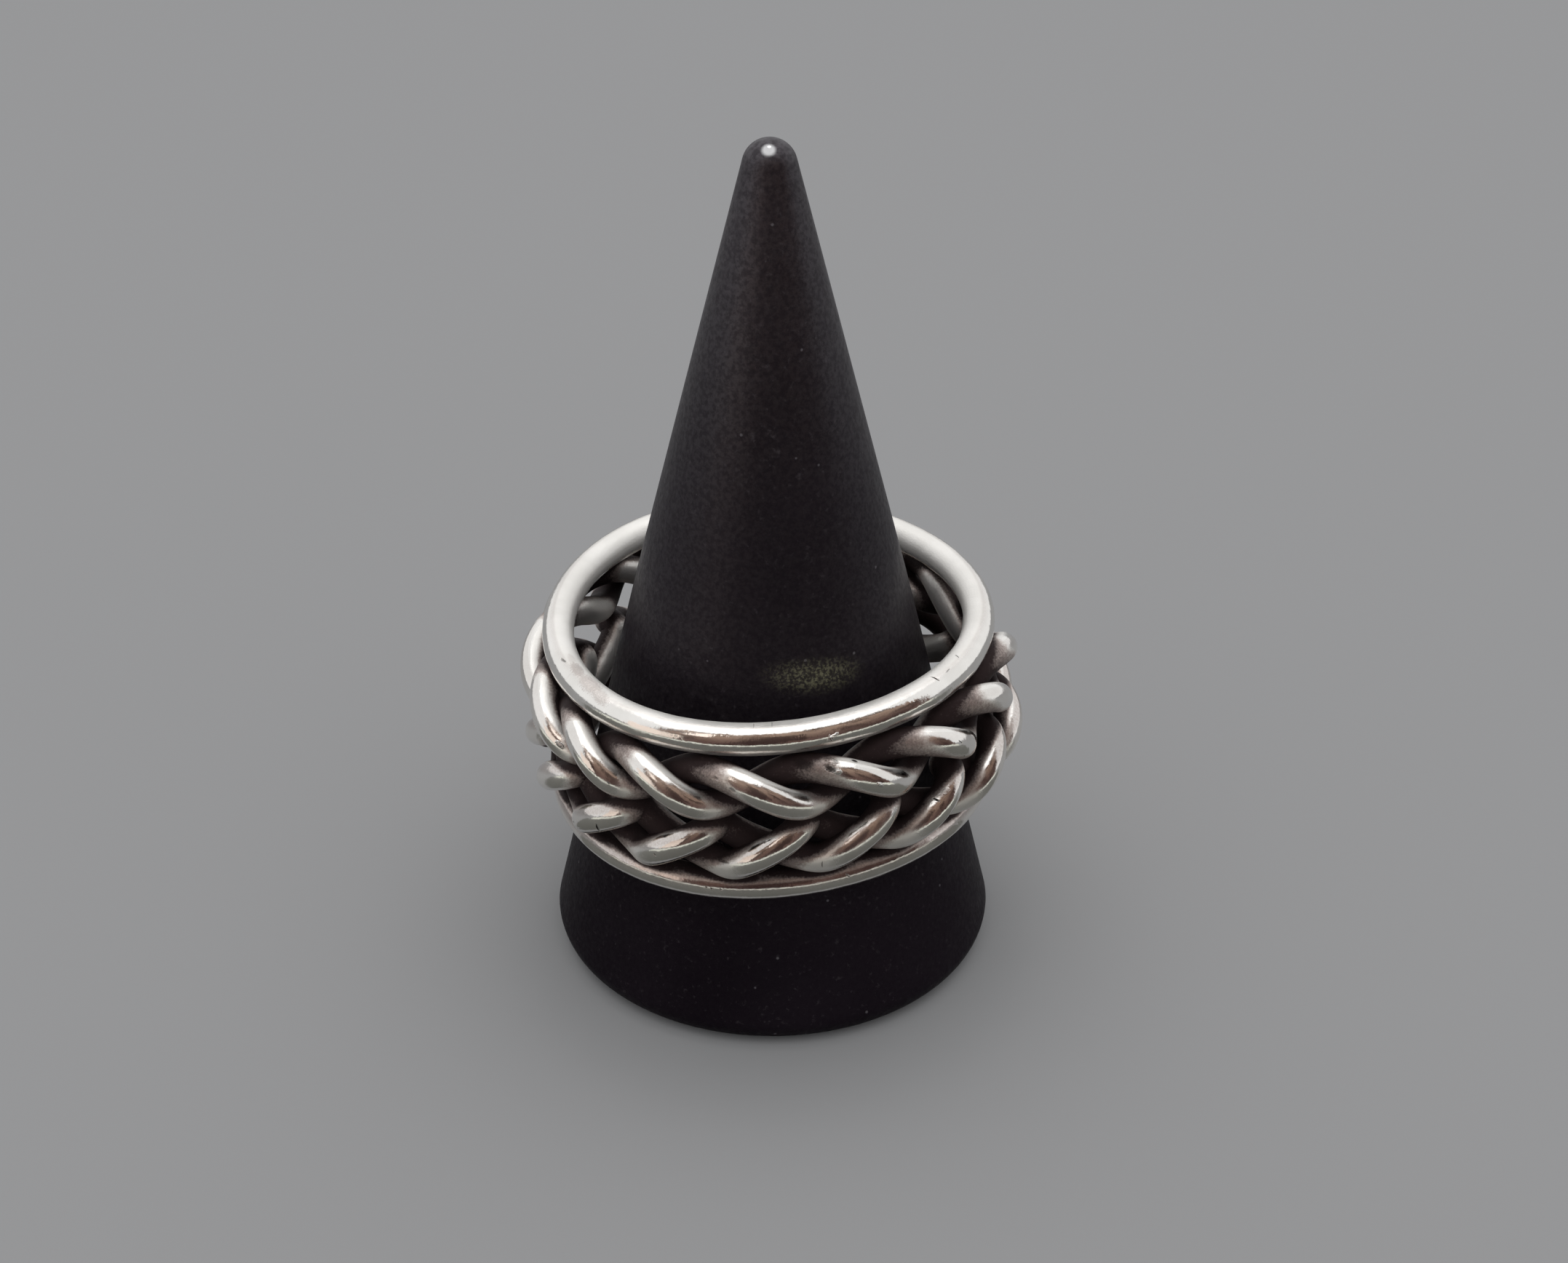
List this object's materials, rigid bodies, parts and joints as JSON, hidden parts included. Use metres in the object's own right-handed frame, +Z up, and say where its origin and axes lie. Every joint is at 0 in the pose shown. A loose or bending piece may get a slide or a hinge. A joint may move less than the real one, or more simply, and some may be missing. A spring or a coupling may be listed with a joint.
{
  "type": "twist ring on cone ring stand",
  "caption": "Openwork silver band ring of counter-twisted wire ropes soldered between plain round edge wires, resting on a plain matt black cone stand.",
  "frame": {"origin": "middle of the stand's flat base, on the surface that it stands on", "axes": "+Z up along the cone's axis, -Y towards the side that the picture shows, +X to the right as seen in the picture"},
  "size_m": [0.0242, 0.0249, 0.0423],
  "materials": {
    "silver": "hand-polished sterling silver, worn satin on the high parts with fine pits and nicks, dark brown oxide left in the recesses of the twists",
    "stand": "near-black matt moulded surface with a fine speckle"
  },
  "bodies": {
    "root": {"ring": "silver", "display_cone": "stand"}
  },
  "joints": []
}
